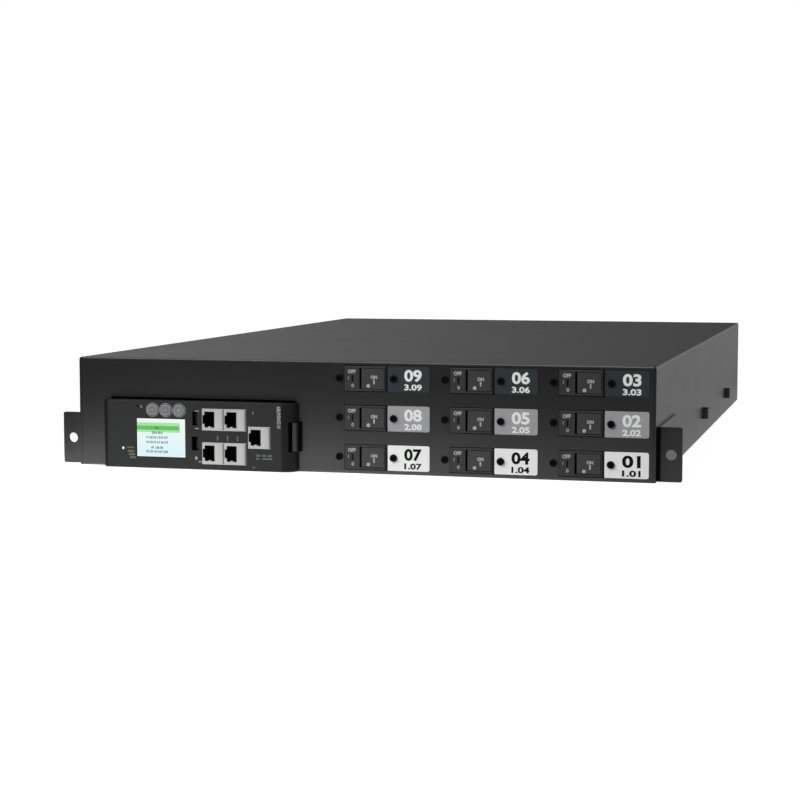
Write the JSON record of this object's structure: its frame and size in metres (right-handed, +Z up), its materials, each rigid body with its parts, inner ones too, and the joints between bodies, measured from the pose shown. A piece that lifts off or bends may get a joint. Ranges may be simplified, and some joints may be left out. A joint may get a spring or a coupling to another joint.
{
  "type": "rack power distribution unit",
  "caption": "Flat black rack power distribution unit with rocker breakers, colour-coded labels and a plug-in network module with a display on its front, outlets at the rear.",
  "frame": {"origin": "under the middle of the whole unit, on the surface it stands on", "axes": "+X to the right seen from the front, +Y from the front to the back, +Z up"},
  "size_m": [0.4826, 0.7626, 0.084],
  "materials": {
    "case_paint": "black powder coat",
    "zinc_steel": "zinc plated",
    "dark_screw": "black oxide",
    "breaker_black": "moulded, satin",
    "rocker_black": "moulded, satin",
    "label_white": "printed film",
    "label_grey": "printed film",
    "label_slate": "printed film",
    "bezel_black": "moulded, fine texture",
    "display_glass": "clear window over a colour screen",
    "button_grey": "moulded",
    "jack_shield": "tin plated shield",
    "light_pipe": "clear moulding",
    "latch_black": "moulded",
    "outlet_black": "moulded",
    "gland_black": "moulded",
    "copper": "bare copper bar",
    "board_green": "solder mask",
    "sensor_blue": "moulded ring",
    "wire_black": "insulated wire",
    "block_grey": "moulded",
    "ribbon_grey": "flat ribbon"
  },
  "bodies": {
    "chassis": {"base_tray": "case_paint", "top_cover": "case_paint", "rear_panel": "case_paint", "right_ear": "case_paint", "left_ear": "case_paint", "ear_screws": "zinc_steel", "cover_screws": "dark_screw", "rear_screws": "zinc_steel", "breaker_screws": "dark_screw", "module_bezel": "bezel_black", "module_case": "zinc_steel", "module_board": "board_green", "module_bay": "zinc_steel", "dock_connector": "block_grey", "display_unit": "display_glass", "jack_pairs": "jack_shield", "jack_single": "jack_shield", "usb_ports": "jack_shield", "status_light": "light_pipe", "cable_gland": "gland_black", "gland_nut": "gland_black", "neutral_bar": "copper", "earth_bar": "copper", "input_block": "block_grey", "load_wires": "wire_black", "metering_board": "board_green", "current_sensors": "sensor_blue", "control_supply": "zinc_steel", "data_ribbon": "ribbon_grey", "breaker_1": "breaker_black", "breaker_2": "breaker_black", "breaker_3": "breaker_black", "breaker_4": "breaker_black", "breaker_5": "breaker_black", "breaker_6": "breaker_black", "breaker_7": "breaker_black", "breaker_8": "breaker_black", "breaker_9": "breaker_black", "labels_row_1": "label_white", "outlets_row_1": "outlet_black", "phase_bar_1": "copper", "labels_row_2": "label_grey", "outlets_row_2": "outlet_black", "phase_bar_2": "copper", "labels_row_3": "label_slate", "outlets_row_3": "outlet_black", "phase_bar_3": "copper"},
    "rocker_1": {"rocker_1": "rocker_black"},
    "rocker_2": {"rocker_2": "rocker_black"},
    "rocker_3": {"rocker_3": "rocker_black"},
    "rocker_4": {"rocker_4": "rocker_black"},
    "rocker_5": {"rocker_5": "rocker_black"},
    "rocker_6": {"rocker_6": "rocker_black"},
    "rocker_7": {"rocker_7": "rocker_black"},
    "rocker_8": {"rocker_8": "rocker_black"},
    "rocker_9": {"rocker_9": "rocker_black"},
    "button_1": {"button_1": "button_grey"},
    "button_2": {"button_2": "button_grey"},
    "button_3": {"button_3": "button_grey"},
    "module_latch": {"module_latch": "latch_black"}
  },
  "joints": [
    {"name": "rocker_7_tilt", "type": "hinge", "parent": "chassis", "child": "rocker_7", "pos_m": [0.0078, -0.3672, 0.0126], "axis": [0, 0, -1], "range_deg": [0, 10]},
    {"name": "rocker_8_tilt", "type": "hinge", "parent": "chassis", "child": "rocker_8", "pos_m": [0.0078, -0.3672, 0.042], "axis": [0, 0, -1], "range_deg": [0, 10]},
    {"name": "rocker_9_tilt", "type": "hinge", "parent": "chassis", "child": "rocker_9", "pos_m": [0.0078, -0.3672, 0.0714], "axis": [0, 0, -1], "range_deg": [0, 10]},
    {"name": "rocker_4_tilt", "type": "hinge", "parent": "chassis", "child": "rocker_4", "pos_m": [0.0888, -0.3672, 0.0126], "axis": [0, 0, -1], "range_deg": [0, 10]},
    {"name": "rocker_5_tilt", "type": "hinge", "parent": "chassis", "child": "rocker_5", "pos_m": [0.0888, -0.3672, 0.042], "axis": [0, 0, -1], "range_deg": [0, 10]},
    {"name": "rocker_6_tilt", "type": "hinge", "parent": "chassis", "child": "rocker_6", "pos_m": [0.0888, -0.3672, 0.0714], "axis": [0, 0, -1], "range_deg": [0, 10]},
    {"name": "rocker_1_tilt", "type": "hinge", "parent": "chassis", "child": "rocker_1", "pos_m": [0.1698, -0.3672, 0.0126], "axis": [0, 0, -1], "range_deg": [0, 10]},
    {"name": "rocker_2_tilt", "type": "hinge", "parent": "chassis", "child": "rocker_2", "pos_m": [0.1698, -0.3672, 0.042], "axis": [0, 0, -1], "range_deg": [0, 10]},
    {"name": "rocker_3_tilt", "type": "hinge", "parent": "chassis", "child": "rocker_3", "pos_m": [0.1698, -0.3672, 0.0714], "axis": [0, 0, -1], "range_deg": [0, 10]},
    {"name": "button_1_press", "type": "slide", "parent": "chassis", "child": "button_1", "axis": [0, 1, 0], "range_m": [0, 0.0008], "stiffness_N_per_m": 1500},
    {"name": "button_2_press", "type": "slide", "parent": "chassis", "child": "button_2", "axis": [0, 1, 0], "range_m": [0, 0.0008], "stiffness_N_per_m": 1500},
    {"name": "button_3_press", "type": "slide", "parent": "chassis", "child": "button_3", "axis": [0, 1, 0], "range_m": [0, 0.0008], "stiffness_N_per_m": 1500},
    {"name": "module_latch_press", "type": "hinge", "parent": "chassis", "child": "module_latch", "pos_m": [-0.04635, -0.3527, 0.0267], "axis": [0, 0, -1], "range_deg": [0, 4.5], "stiffness_Nm_per_rad": 0.4}
  ]
}
